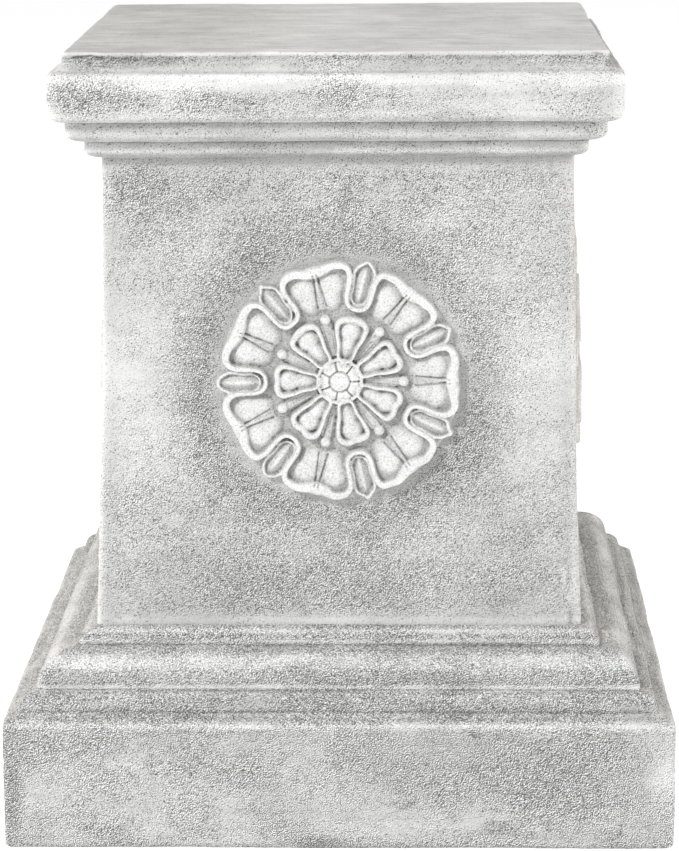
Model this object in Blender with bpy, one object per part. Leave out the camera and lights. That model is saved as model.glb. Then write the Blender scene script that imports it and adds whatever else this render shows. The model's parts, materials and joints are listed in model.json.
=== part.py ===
"""A garden plinth of cast stone, as one solid.

A square block and three stepped rolls carry a flared dado, with a rosette in relief on each of
its four sides, and a moulded cap with a flat top. Metres, +Z up. The origin is at the centre of
the underside, and the front faces -Y.
"""

import math

import bmesh
import bpy
from mathutils import Vector
from mathutils.geometry import delaunay_2d_cdt

# Heights of the courses, from the ground up
BLOCK_HEIGHT = 0.0586
WEATHERING_HEIGHT = 0.0033
LOW_ROLL_HEIGHT = 0.0078
LARGE_ROLL_HEIGHT = 0.0159
BEAD_HEIGHT = 0.0070
DADO_HEIGHT = 0.2127
BED_HEIGHT = 0.0078
CORONA_HEIGHT = 0.0092
SLAB_HEIGHT = 0.0222
COVE_HEIGHT = 0.0057
FILLET_HEIGHT = 0.0028

# Width of the dado at its top, and how far each course stands out from its neighbour
DADO_WIDTH = 0.2072
DADO_FLARE = 0.0058
BEAD_PROJECTION = 0.0085
LARGE_ROLL_PROJECTION = 0.0172
LOW_ROLL_PROJECTION = 0.0076
BLOCK_PROJECTION = 0.0073
BED_PROJECTION = 0.0073
CORONA_PROJECTION = 0.0074
SLAB_PROJECTION = 0.0067
COVE_SET_IN = 0.0018
COVE_WIDTH = 0.0046

# Roundings and upright lips
CORNER_RADIUS = 0.0025
FOOT_RADIUS = 0.0016
BLOCK_EDGE_RADIUS = 0.0016
LARGE_ROLL_LIP = 0.0018
BEAD_LIP = 0.0009
BED_ROUND = 0.0040
CORONA_ROUND = 0.0043
SLAB_ROUND = 0.0048
TOP_EDGE_RADIUS = 0.0014

# How the curves are cut into flats
CORNER_STEPS = 2
ARC_STEPS = 3
DADO_STEPS = 5
FLARE_POWER = 1.6

# Rosette: its place, its rings and its heights above the dado's face
PETAL_COUNT = 7
ROSETTE_RISE = 0.0065
ROSETTE_ASIDE = 0.0010
ROSETTE_RADIUS = 0.0550
ROSETTE_SINK = 0.0015
GROUND_HEIGHT = 0.0009

# The rolled rim that runs round each outer petal and back round the leaf beside it
EDGE_FALL = 0.0022
EDGE_WAVE = 0.0009
LOBE_RIM = 0.0018
NOTCH_DEPTH = 0.0036
NOTCH_SIDE_DEPTH = 0.0011
SHOULDER_DROP = 0.0007
CORNER_DROP = 0.0040
CORNER_WIDENING = 0.0009
SIDE_RIM = 0.0017
RIM_FALL = 0.0011
RIM_HEIGHT = 0.0074
PETAL_INNER_RADIUS = 0.0318
HOLLOW_HEIGHT = 0.0027
LOBE_HEIGHT = 0.0053
LOBE_NEAR_HEIGHT = 0.0038
LOBE_FAR_HEIGHT = 0.0046
RIB_HEIGHT = 0.0056
RIB_MIDDLE_HEIGHT = 0.0045
RIB_FOOT_HEIGHT = 0.0018
RIB_FOOT_HALF = 0.0013
RIB_MIDDLE_HALF = 0.0010
RIB_TIP_HALF = 0.0007

# Turns along a petal's outline, as shares of the half spacing between two petals
LOBE_TURN = 0.36
SHOULDER_TURN = 0.56
FOOT_SHOULDER_TURN = 0.62
NOTCH_SIDE_TURN = 0.18
INNER_SHOULDER_TURN = 0.53
PAD_TURNS = (0.25, 0.32, 0.35)

# The pointed leaf between two outer petals, in a channel of its own
CHANNEL_HALF = 0.0047
CHANNEL_HEIGHT = 0.0020
LEAF_HALF = 0.0039
LEAF_NECK_HALF = 0.0028
LEAF_NECK_SHARE = 0.34
LEAF_SHOULDER = 0.0023
LEAF_HEIGHT = 0.0034
LEAF_FOOT_HEIGHT = 0.0027
LEAF_VEIN_HEIGHT = 0.0046

# The ring of inner petals
INNER_RADIUS = 0.0297
INNER_TIP_HALF = 0.0063
INNER_SHOULDER = 0.0041
INNER_CORNER_HALF = 0.0045
INNER_CORNER_DROP = 0.0013
INNER_FOOT_HALF = 0.0025
INNER_FALL = 0.0009
INNER_RIM = 0.0011
INNER_RIM_HEIGHT = 0.0066
INNER_HOLLOW_HEIGHT = 0.0040
INNER_DOME_HEIGHT = 0.0057
INNER_DOME_FOOT_HEIGHT = 0.0051

# The stamens between them, each with a bead at its end
BEAD_RING_RADIUS = 0.0284
BEAD_RADIUS = 0.0024
BEAD_TOP = 0.0066
BEAD_CROWN_RADIUS = 0.0014
BEAD_CROWN_HEIGHT = 0.0059
STAMEN_HALF = 0.0010
STAMEN_FOOT_HALF = 0.0005
STAMEN_HEIGHT = 0.0040
STAMEN_FOOT_HEIGHT = 0.0018
BEAD_SIDES = 6

# The hub: a ring cut by a groove at each stamen, round a button
HUB_RADIUS = 0.0104
HUB_HEIGHT = 0.0068
HUB_FOOT_HEIGHT = 0.0028
HUB_EDGE = 0.0012
GROOVE_HALF = 0.0006
GROOVE_HEIGHT = 0.0050
BUTTON_RADIUS = 0.0043
BUTTON_HEIGHT = 0.0078
BUTTON_CREASE_HEIGHT = 0.0058

STONE_COLOUR = (0.74, 0.74, 0.73, 1.0)
STONE_ROUGHNESS = 0.92
SMOOTH_ANGLE = math.radians(32)

SPACING = 2 * math.pi / PETAL_COUNT
HALF_SPACING = SPACING / 2


def clear_scene():
    """Takes out whatever the opened file holds."""
    for thing in list(bpy.data.objects):
        bpy.data.objects.remove(thing, do_unlink=True)


def stone_material():
    """Pale, dull cast stone."""
    material = bpy.data.materials.new("cast_stone")
    material.use_nodes = True
    shader = material.node_tree.nodes["Principled BSDF"]
    shader.inputs["Base Color"].default_value = STONE_COLOUR
    shader.inputs["Roughness"].default_value = STONE_ROUGHNESS
    shader.inputs["Metallic"].default_value = 0.0
    return material


def arc(centre, radii, start, end, steps=ARC_STEPS):
    """Points along an elliptical arc in the profile's plane, between two angles in degrees."""
    points = []
    for i in range(steps + 1):
        turn = math.radians(start + (end - start) * i / steps)
        points.append((centre[0] + radii[0] * math.cos(turn), centre[1] + radii[1] * math.sin(turn)))
    return points


def course_heights():
    """The height at which each course starts, and that of the top."""
    courses = {
        "block": BLOCK_HEIGHT, "weathering": WEATHERING_HEIGHT, "low_roll": LOW_ROLL_HEIGHT,
        "large_roll": LARGE_ROLL_HEIGHT, "bead": BEAD_HEIGHT, "dado": DADO_HEIGHT, "bed": BED_HEIGHT,
        "corona": CORONA_HEIGHT, "slab": SLAB_HEIGHT, "cove": COVE_HEIGHT, "fillet": FILLET_HEIGHT,
    }
    heights = {}
    height = 0.0
    for name, rise in courses.items():
        heights[name] = height
        height += rise
    heights["top"] = height
    return heights


def dado_half(height):
    """Half the dado's width at a height: straight at the top, and flaring out to its foot."""
    share = (height - course_heights()["dado"]) / DADO_HEIGHT
    share = min(max(share, 0.0), 1.0)
    return DADO_WIDTH / 2 + DADO_FLARE * (1 - share) ** FLARE_POWER


def roll(inner, projection, foot, height, lip):
    """A quarter round that stands out at its foot and curves in to meet the course above."""
    start = [(inner + projection, foot)] if lip else []
    return start + arc((inner, foot + lip), (projection, height - lip), 0, 90)


def base_profile(z):
    """The block and the three rolls, from the foot up to the dado."""
    bead_inner = dado_half(z["dado"])
    large_inner = bead_inner + BEAD_PROJECTION
    low_inner = large_inner + LARGE_ROLL_PROJECTION
    low_outer = low_inner + LOW_ROLL_PROJECTION
    half = low_outer + BLOCK_PROJECTION
    foot = arc((half - FOOT_RADIUS, FOOT_RADIUS), (FOOT_RADIUS, FOOT_RADIUS), -90, 0, 2)
    edge_centre = (half - BLOCK_EDGE_RADIUS, z["weathering"] - BLOCK_EDGE_RADIUS)
    edge = arc(edge_centre, (BLOCK_EDGE_RADIUS, BLOCK_EDGE_RADIUS), 0, 75, 2)
    low = roll(low_inner, LOW_ROLL_PROJECTION, z["low_roll"], LOW_ROLL_HEIGHT, 0.0)
    large = roll(large_inner, LARGE_ROLL_PROJECTION, z["large_roll"], LARGE_ROLL_HEIGHT, LARGE_ROLL_LIP)
    bead = roll(bead_inner, BEAD_PROJECTION, z["bead"], BEAD_HEIGHT, BEAD_LIP)
    return foot + edge + low[:-1] + large[:-1] + bead[:-1]


def dado_profile(z):
    """The dado's flare, as a row of flats."""
    heights = [z["dado"] + DADO_HEIGHT * i / DADO_STEPS for i in range(DADO_STEPS + 1)]
    return [(dado_half(height), height) for height in heights]


def cap_profile(z):
    """The bed moulding, the corona, the slab, its cove and the fillet round the top."""
    bed_inner = DADO_WIDTH / 2
    bed_outer = bed_inner + BED_PROJECTION
    corona_outer = bed_outer + CORONA_PROJECTION
    slab_outer = corona_outer + SLAB_PROJECTION
    cove_outer = slab_outer - COVE_SET_IN
    fillet_half = cove_outer - COVE_WIDTH
    bed = arc((bed_inner, z["bed"] + BED_ROUND), (BED_PROJECTION, BED_ROUND), -90, 0)
    corona = arc((bed_outer, z["corona"] + CORONA_ROUND), (CORONA_PROJECTION, CORONA_ROUND), -90, 0)
    slab = arc((corona_outer, z["slab"] + SLAB_ROUND), (SLAB_PROJECTION, SLAB_ROUND), -90, 0)
    slab_top = arc((cove_outer, z["cove"] - COVE_SET_IN), (COVE_SET_IN, COVE_SET_IN), 0, 90, 2)
    cove = arc((cove_outer, z["fillet"]), (COVE_WIDTH, COVE_HEIGHT), 270, 180)
    top_centre = (fillet_half - TOP_EDGE_RADIUS, z["top"] - TOP_EDGE_RADIUS)
    top = arc(top_centre, (TOP_EDGE_RADIUS, TOP_EDGE_RADIUS), 0, 90, 2)
    return bed[1:] + corona + slab + slab_top + cove[1:] + top


def ring(half, height):
    """A square with rounded corners, as points at one height, counter-clockwise from above."""
    points = []
    for corner in range(4):
        middle = math.radians(45 + 90 * corner)
        reach = (half - CORNER_RADIUS) * math.sqrt(2)
        centre = Vector((reach * math.cos(middle), reach * math.sin(middle)))
        for i in range(CORNER_STEPS + 1):
            turn = math.radians(90 * corner + 90 * i / CORNER_STEPS)
            x = centre.x + CORNER_RADIUS * math.cos(turn)
            y = centre.y + CORNER_RADIUS * math.sin(turn)
            points.append((x, y, height))
    return points


def body_mesh():
    """Rings of the profile, joined ring to ring and closed by the underside and the top."""
    z = course_heights()
    profile = base_profile(z) + dado_profile(z) + cap_profile(z)
    bm = bmesh.new()
    rings = [[bm.verts.new(point) for point in ring(half, height)] for half, height in profile]
    count = len(rings[0])
    for low, high in zip(rings, rings[1:]):
        for i in range(count):
            after = (i + 1) % count
            bm.faces.new((low[i], low[after], high[after], high[i]))
    bm.faces.new(list(reversed(rings[0])))
    bm.faces.new(rings[-1])
    return finished_mesh(bm, "plinth")


def finished_mesh(bm, name):
    """Turns the faces outwards and hands the mesh over, smooth but for its edges."""
    bmesh.ops.recalc_face_normals(bm, faces=bm.faces)
    mesh = bpy.data.meshes.new(name)
    bm.to_mesh(mesh)
    bm.free()
    mesh.shade_smooth()
    mesh.set_sharp_from_angle(angle=SMOOTH_ANGLE)
    return mesh


def polar(radius, angle, height):
    """A relief point by its distance from the rosette's centre and its turn from the petal's axis."""
    return (radius * math.cos(angle), radius * math.sin(angle), height)


def beside_leaf(along, aside, height):
    """A relief point by its distance along the leaf's axis and off it, towards the petal."""
    cosine, sine = math.cos(HALF_SPACING), math.sin(HALF_SPACING)
    return (along * cosine + aside * sine, along * sine - aside * cosine, height)


def mirrored(points):
    """The same points on the other side of the petal's axis."""
    return [(u, -v, h) for u, v, h in points]


def turned(points, k):
    """The points of one petal turned on to petal k."""
    cosine, sine = math.cos(k * SPACING), math.sin(k * SPACING)
    return [(u * cosine - v * sine, u * sine + v * cosine, h) for u, v, h in points]


def all_round(half_outline):
    """A closed line round the rosette, from the points between a petal's axis and a leaf's axis."""
    sector = list(reversed(mirrored(half_outline[1:]))) + half_outline[:-1]
    return [point for k in range(PETAL_COUNT) for point in turned(sector, k)]


def offset(line, distance):
    """A closed line moved to its left by a distance."""
    moved = []
    for i, (u, v, h) in enumerate(line):
        before, after = line[i - 1], line[(i + 1) % len(line)]
        along = Vector((after[0] - before[0], after[1] - before[1])).normalized()
        moved.append((u - along.y * distance, v + along.x * distance, h))
    return moved


def rim_edge():
    """The distance from the rosette's centre to the outer edge of the rim's crest."""
    return ROSETTE_RADIUS - EDGE_FALL


def foot_line():
    """Where the rosette runs into the dado: round the petals, and out to each leaf's tip."""
    reach = ROSETTE_RADIUS + EDGE_FALL * ROSETTE_SINK / RIM_HEIGHT
    half_outline = [
        polar(reach - EDGE_WAVE, 0.0, -ROSETTE_SINK),
        polar(reach, HALF_SPACING * LOBE_TURN, -ROSETTE_SINK),
        polar(reach - EDGE_WAVE, HALF_SPACING * FOOT_SHOULDER_TURN, -ROSETTE_SINK),
        beside_leaf(rim_edge() - EDGE_FALL / 2, CHANNEL_HALF + SIDE_RIM / 3, -ROSETTE_SINK),
        beside_leaf(reach - EDGE_WAVE, 0.0, -ROSETTE_SINK),
    ]
    return all_round(half_outline)


def channel_end(bottom, half, height):
    """The round inner end of a leaf's channel, as an arc from its side to its bottom."""
    turns = [math.radians(45 * i) for i in range(3)]
    return [beside_leaf(bottom + half * (1 - math.sin(t)), half * math.cos(t), height) for t in turns]


def crest_outer_line():
    """The outer edge of the rim's crest, round the petals and into the leaves' channels."""
    edge = rim_edge()
    half_outline = [
        polar(edge - EDGE_WAVE, 0.0, RIM_HEIGHT),
        polar(edge, HALF_SPACING * LOBE_TURN, RIM_HEIGHT),
        polar(edge - EDGE_WAVE / 2, HALF_SPACING * SHOULDER_TURN, RIM_HEIGHT),
        beside_leaf(edge - LOBE_RIM, CHANNEL_HALF + SIDE_RIM, RIM_HEIGHT),
        beside_leaf(edge - 2 * LOBE_RIM, CHANNEL_HALF, RIM_HEIGHT),
    ]
    return all_round(half_outline + channel_end(PETAL_INNER_RADIUS + SIDE_RIM, CHANNEL_HALF, RIM_HEIGHT))


def crest_inner_line():
    """The inner edge of the rim's crest: heart-shaped in each petal, and out round the channels."""
    lobe = rim_edge() - LOBE_RIM
    side = CHANNEL_HALF + SIDE_RIM
    half_outline = [
        polar(lobe - NOTCH_DEPTH, 0.0, RIM_HEIGHT),
        polar(lobe - NOTCH_SIDE_DEPTH, HALF_SPACING * NOTCH_SIDE_TURN, RIM_HEIGHT),
        polar(lobe, HALF_SPACING * LOBE_TURN, RIM_HEIGHT),
        polar(lobe - SHOULDER_DROP, HALF_SPACING * INNER_SHOULDER_TURN, RIM_HEIGHT),
        beside_leaf(lobe - CORNER_DROP, side + CORNER_WIDENING, RIM_HEIGHT),
    ]
    return all_round(half_outline + channel_end(PETAL_INNER_RADIUS, side, RIM_HEIGHT))


def hollow_height(u, v):
    """The floor inside the rims: low on the ground, and rising into the hollow of each petal."""
    share = (math.hypot(u, v) - PETAL_INNER_RADIUS) / (rim_edge() - LOBE_RIM - PETAL_INNER_RADIUS)
    share = min(max(share, 0.0), 1.0)
    return GROUND_HEIGHT + (HOLLOW_HEIGHT - GROUND_HEIGHT) * share


def channel_line():
    """The floor of the channel round one leaf, open at its mouth."""
    reach = CHANNEL_HALF - RIM_FALL
    mouth = [beside_leaf(rim_edge() - 2 * LOBE_RIM, reach, CHANNEL_HEIGHT)]
    side = mouth + channel_end(PETAL_INNER_RADIUS + SIDE_RIM + RIM_FALL, reach, CHANNEL_HEIGHT)
    return side + list(reversed(turned(mirrored(side[:-1]), 1)))


def rim_lines():
    """Both edges of the rim's crest, the foot of its inner side, and the floor round each leaf."""
    inner = crest_inner_line()
    foot = [(u, v, hollow_height(u, v)) for u, v, h in offset(inner, RIM_FALL)]
    lines = [(crest_outer_line(), True), (inner, True), (foot, True)]
    return lines + [(turned(channel_line(), k), False) for k in range(PETAL_COUNT)]


def petal_lines():
    """The two swelling lobes inside an outer petal, and the rib that parts them."""
    near = PETAL_INNER_RADIUS + SIDE_RIM
    far = rim_edge() - LOBE_RIM - NOTCH_DEPTH - RIM_FALL
    middle = (near + far) / 2
    lobe = [
        polar(middle - RIM_FALL, HALF_SPACING * PAD_TURNS[0], LOBE_NEAR_HEIGHT),
        polar((middle + far) / 2, HALF_SPACING * PAD_TURNS[1], LOBE_HEIGHT),
        polar(far, HALF_SPACING * PAD_TURNS[2], LOBE_FAR_HEIGHT),
    ]
    rib = [(near, 0.0, RIB_FOOT_HEIGHT), (middle, 0.0, RIB_MIDDLE_HEIGHT), (far, 0.0, RIB_HEIGHT)]
    flank = [
        (near, RIB_FOOT_HALF, GROUND_HEIGHT),
        (middle, RIB_MIDDLE_HALF, HOLLOW_HEIGHT),
        (far, RIB_TIP_HALF, HOLLOW_HEIGHT),
    ]
    return [lobe, mirrored(lobe), rib, flank, mirrored(flank)]


def leaf_lines():
    """The edge and the vein of the pointed leaf beside a petal."""
    tip = rim_edge()
    base = PETAL_INNER_RADIUS + SIDE_RIM + 2 * RIM_FALL
    neck = base + (tip - base) * LEAF_NECK_SHARE
    near_edge = [
        beside_leaf(neck, LEAF_NECK_HALF, LEAF_FOOT_HEIGHT),
        beside_leaf(tip - LEAF_SHOULDER, LEAF_HALF, LEAF_HEIGHT),
    ]
    edge = near_edge + [beside_leaf(tip, 0.0, LEAF_HEIGHT)] + list(reversed(turned(mirrored(near_edge), 1)))
    vein = [
        beside_leaf(base, 0.0, LEAF_FOOT_HEIGHT),
        beside_leaf(neck, 0.0, LEAF_VEIN_HEIGHT),
        beside_leaf(tip - LOBE_RIM, 0.0, LEAF_VEIN_HEIGHT),
    ]
    return [edge, vein]


def inner_petal_lines():
    """An inner petal, on the same axis as a leaf: its foot, its rolled rim and its swelling middle."""
    start = HUB_RADIUS + HUB_EDGE
    tip = INNER_RADIUS - INNER_FALL
    shoulder = tip - INNER_SHOULDER

    def outline(grow, height):
        slant = grow * math.sqrt(0.5)
        near = [
            beside_leaf(start, INNER_FOOT_HALF + slant, height),
            beside_leaf(shoulder, INNER_TIP_HALF + grow, height),
            beside_leaf(tip - INNER_CORNER_DROP + slant, INNER_CORNER_HALF + slant, height),
        ]
        return near + [beside_leaf(tip + grow, 0.0, height)] + list(reversed(turned(mirrored(near), 1)))

    dome = [
        beside_leaf((start + shoulder) / 2, 0.0, INNER_DOME_FOOT_HEIGHT),
        beside_leaf(shoulder, 0.0, INNER_DOME_HEIGHT),
    ]
    foot = outline(INNER_FALL, GROUND_HEIGHT)
    crest = outline(0.0, INNER_RIM_HEIGHT)
    floor = outline(-INNER_RIM, INNER_HOLLOW_HEIGHT)
    return [foot, crest, floor, dome]


def stamen_lines():
    """The stamen on a petal's axis, from the hub out to its round bead."""
    start = HUB_RADIUS + HUB_EDGE
    end = BEAD_RING_RADIUS - BEAD_RADIUS
    spine = [(start, 0.0, STAMEN_HEIGHT), (end, 0.0, STAMEN_HEIGHT)]
    flank = [(start, STAMEN_FOOT_HALF, STAMEN_FOOT_HEIGHT), (end, STAMEN_HALF, GROUND_HEIGHT)]

    def bead_ring(radius, height):
        turns = [2 * math.pi * (i + 0.5) / BEAD_SIDES for i in range(BEAD_SIDES)]
        return [(BEAD_RING_RADIUS + radius * math.cos(t), radius * math.sin(t), height) for t in turns]

    foot = bead_ring(BEAD_RADIUS, GROUND_HEIGHT)
    crown = bead_ring(BEAD_CROWN_RADIUS, BEAD_CROWN_HEIGHT)
    top = [(BEAD_RING_RADIUS, 0.0, BEAD_TOP)]
    return [spine, flank, mirrored(flank), foot + foot[:1], crown + crown[:1], top]


def hub_lines():
    """One petal's share of the hub: its foot, the ring with its groove, and the button's edge."""
    outer = HUB_RADIUS - HUB_EDGE
    inner = BUTTON_RADIUS + GROOVE_HALF
    lines = []
    for radius in (outer, inner):
        spread = GROOVE_HALF / radius
        lines.append([
            polar(radius, spread, HUB_HEIGHT),
            polar(radius, HALF_SPACING, HUB_HEIGHT),
            polar(radius, SPACING - spread, HUB_HEIGHT),
        ])
    lines.append([polar(inner, 0.0, GROOVE_HEIGHT), polar(outer, 0.0, GROOVE_HEIGHT)])
    foot = [polar(HUB_RADIUS, SPACING * i / 3, HUB_FOOT_HEIGHT) for i in range(4)]
    crease = [polar(BUTTON_RADIUS, SPACING * i / 2, BUTTON_CREASE_HEIGHT) for i in range(3)]
    crown = [polar(BUTTON_RADIUS / 2, SPACING * i, BUTTON_HEIGHT) for i in range(2)]
    return lines + [foot, crease, crown]


def rosette_lines():
    """Every line of the carving, as (points, closed), with the foot line first."""
    lines = [(foot_line(), True)] + rim_lines()
    one_petal = petal_lines() + leaf_lines() + inner_petal_lines() + stamen_lines() + hub_lines()
    for k in range(PETAL_COUNT):
        lines += [(turned(points, k), False) for points in one_petal]
    lines.append(([(0.0, 0.0, BUTTON_HEIGHT)], False))
    return lines


def triangulated(lines):
    """Joins the lines of the carving into triangles, and keeps the height of every point."""
    flat, heights, edges = [], [], []
    for points, closed in lines:
        first = len(flat)
        flat += [Vector((u, v)) for u, v, h in points]
        heights += [h for u, v, h in points]
        edges += [(first + i, first + i + 1) for i in range(len(points) - 1)]
        if closed:
            edges.append((len(flat) - 1, first))
    corners, found_edges, faces, sources, _, _ = delaunay_2d_cdt(flat, edges, [], 1, 1e-7, True)
    raised = [max(heights[i] for i in source) if source else None for source in sources]
    for i, height in enumerate(raised):
        if height is None:
            near = [raised[b if a == i else a] for a, b in found_edges if i in (a, b)]
            known = [h for h in near if h is not None]
            raised[i] = sum(known) / len(known)
    return corners, raised, faces


def rosette_mesh():
    """The rosette for the front face, with its foot and its back sunk in the dado."""
    z = course_heights()
    middle = z["dado"] + DADO_HEIGHT / 2 + ROSETTE_RISE
    corners, raised, faces = triangulated(rosette_lines())
    bm = bmesh.new()
    verts = []
    for corner, height in zip(corners, raised):
        level = middle + corner.y
        verts.append(bm.verts.new((ROSETTE_ASIDE + corner.x, -dado_half(level) - height, level)))
    for face in faces:
        bm.faces.new([verts[i] for i in face])
    rim = [edge for edge in bm.edges if edge.is_boundary]
    bmesh.ops.contextual_create(bm, geom=rim)
    return finished_mesh(bm, "rosette")


def add_object(name, mesh):
    """Links a mesh to the scene as an object."""
    thing = bpy.data.objects.new(name, mesh)
    bpy.context.scene.collection.objects.link(thing)
    return thing


def add_rosettes(plinth):
    """Joins one rosette to each side of the dado."""
    mesh = rosette_mesh()
    for side in range(4):
        guide = add_object(f"rosette_guide_{side}", mesh)
        guide.rotation_euler.z = side * math.pi / 2
        guide.hide_render = True
        guide.display_type = "WIRE"
        joint = plinth.modifiers.new(f"rosette_{side}", "BOOLEAN")
        joint.operation = "UNION"
        joint.solver = "EXACT"
        joint.object = guide


def main():
    """Builds the plinth."""
    clear_scene()
    mesh = body_mesh()
    mesh.materials.append(stone_material())
    plinth = add_object("plinth", mesh)
    add_rosettes(plinth)


main()
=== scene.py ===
# %% [markdown]
# # A garden plinth of cast stone
#
# The real plinth is one casting: a square block, three stepped rolls, a flared dado with a
# rosette on each side, and a moulded cap. Its makers press a gritty mix into a mould, wash it
# with grey, and dry-brush it with white, so that pits and creases stay dark and edges turn pale.
#
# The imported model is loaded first. It is the measure for everything here: the fine pieces made
# below stand where it stands, and stay inside its box.

import json
import math

import bmesh
import bpy
import numpy as np
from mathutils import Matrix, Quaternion, Vector, noise

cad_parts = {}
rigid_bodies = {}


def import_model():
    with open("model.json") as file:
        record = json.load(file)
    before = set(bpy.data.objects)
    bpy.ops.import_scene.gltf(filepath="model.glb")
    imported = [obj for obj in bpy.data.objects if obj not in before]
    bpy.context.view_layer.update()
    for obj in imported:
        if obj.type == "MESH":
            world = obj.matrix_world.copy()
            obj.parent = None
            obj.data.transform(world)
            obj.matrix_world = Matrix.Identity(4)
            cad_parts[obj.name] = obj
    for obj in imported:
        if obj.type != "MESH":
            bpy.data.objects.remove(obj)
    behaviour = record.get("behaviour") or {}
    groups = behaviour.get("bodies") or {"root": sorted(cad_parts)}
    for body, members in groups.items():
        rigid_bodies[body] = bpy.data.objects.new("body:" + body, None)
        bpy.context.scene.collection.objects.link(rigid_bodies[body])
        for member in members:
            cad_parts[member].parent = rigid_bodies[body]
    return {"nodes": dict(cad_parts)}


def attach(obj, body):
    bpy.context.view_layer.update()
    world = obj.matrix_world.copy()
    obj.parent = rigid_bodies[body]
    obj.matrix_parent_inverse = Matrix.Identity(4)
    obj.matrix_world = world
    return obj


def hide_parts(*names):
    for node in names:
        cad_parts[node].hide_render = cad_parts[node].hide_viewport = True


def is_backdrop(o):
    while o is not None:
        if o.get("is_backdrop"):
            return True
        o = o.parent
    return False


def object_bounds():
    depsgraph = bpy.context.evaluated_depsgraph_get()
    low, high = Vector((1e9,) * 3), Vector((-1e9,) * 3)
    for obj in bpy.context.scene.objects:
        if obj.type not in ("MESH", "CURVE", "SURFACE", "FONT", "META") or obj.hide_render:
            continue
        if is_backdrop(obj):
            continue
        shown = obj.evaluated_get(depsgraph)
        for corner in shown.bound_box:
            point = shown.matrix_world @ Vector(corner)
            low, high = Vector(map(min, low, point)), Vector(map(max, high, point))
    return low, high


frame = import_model()
cad_low, cad_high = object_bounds()
print("nodes in the packed model:", len(frame["nodes"]))
print("model's box in mm:", [round(side * 1000, 1) for side in cad_high - cad_low])

# %% [markdown]
# ## The sizes of the courses
#
# A moulded plinth is read from the ground up, course by course. Each course has a height and a
# distance by which it stands out from its neighbour. All of them are in metres, as in the model.

# %% Heights and projections
BLOCK_HEIGHT = 0.0586
WEATHERING_HEIGHT = 0.0033
LOW_ROLL_HEIGHT = 0.0078
LARGE_ROLL_HEIGHT = 0.0159
BEAD_HEIGHT = 0.0070
DADO_HEIGHT = 0.2127
BED_HEIGHT = 0.0078
CORONA_HEIGHT = 0.0092
SLAB_HEIGHT = 0.0222
COVE_HEIGHT = 0.0057
FILLET_HEIGHT = 0.0028

DADO_WIDTH = 0.2072
DADO_FLARE = 0.0058
FLARE_POWER = 1.6
BEAD_PROJECTION = 0.0085
LARGE_ROLL_PROJECTION = 0.0172
LOW_ROLL_PROJECTION = 0.0076
BED_PROJECTION = 0.0073
CORONA_PROJECTION = 0.0074
SLAB_PROJECTION = 0.0067
COVE_SET_IN = 0.0018
COVE_WIDTH = 0.0046

LOW_ROLL_FOOT = BLOCK_HEIGHT + WEATHERING_HEIGHT
LARGE_ROLL_FOOT = LOW_ROLL_FOOT + LOW_ROLL_HEIGHT
BEAD_FOOT = LARGE_ROLL_FOOT + LARGE_ROLL_HEIGHT
DADO_FOOT = BEAD_FOOT + BEAD_HEIGHT
BED_FOOT = DADO_FOOT + DADO_HEIGHT
CORONA_FOOT = BED_FOOT + BED_HEIGHT
SLAB_FOOT = CORONA_FOOT + CORONA_HEIGHT
COVE_FOOT = SLAB_FOOT + SLAB_HEIGHT
FILLET_FOOT = COVE_FOOT + COVE_HEIGHT
TOP = FILLET_FOOT + FILLET_HEIGHT
NEARLY = 1e-5

ROSETTE_HEIGHT = DADO_FOOT + DADO_HEIGHT / 2 + 0.0065
ROSETTE_ASIDE = 0.0010
print("top of the courses in mm:", round(TOP * 1000, 1))

# %% [markdown]
# ## Profiles
#
# A mason cuts a moulding from a profile: a line that is the same all the way round. Here it is
# a list of (half width, height) points. Quarter rounds are arcs, and the straight stretches are
# filled with points at an even pitch, because the rough surface needs a fine and even mesh.

# %% Points along a profile
ARC_STEP_DEGREES = 12


def arc(centre, radii, start, end):
    """Points along an elliptical arc of the profile, between two angles in degrees."""
    steps = max(2, round(abs(end - start) / ARC_STEP_DEGREES))
    points = []
    for i in range(steps + 1):
        turn = math.radians(start + (end - start) * i / steps)
        points.append((centre[0] + radii[0] * math.cos(turn), centre[1] + radii[1] * math.sin(turn)))
    return points


def filled(points, pitch):
    """The same line with points no farther apart than the pitch."""
    line = [points[0]]
    for before, after in zip(points, points[1:]):
        steps = max(1, math.ceil(math.dist(before, after) / pitch))
        for i in range(1, steps + 1):
            share = i / steps
            line.append(tuple(a + (b - a) * share for a, b in zip(before, after)))
    return line


def dado_half(height):
    """Half the dado's width at a height: straight at the top and flaring out to its foot."""
    share = min(max((height - DADO_FOOT) / DADO_HEIGHT, 0.0), 1.0)
    return DADO_WIDTH / 2 + DADO_FLARE * (1 - share) ** FLARE_POWER


# %% [markdown]
# ## The three profiles
#
# The casting is one solid, but a fine mesh of it would be too heavy for one piece, so it is made
# as three that meet in the creases: base, dado and cap. Each runs a little way into its
# neighbour, where nobody sees it, so that no gap can open.

# %% Base, dado and cap
OVERLAP = 0.004
FLARE_STEPS = 24


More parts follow.
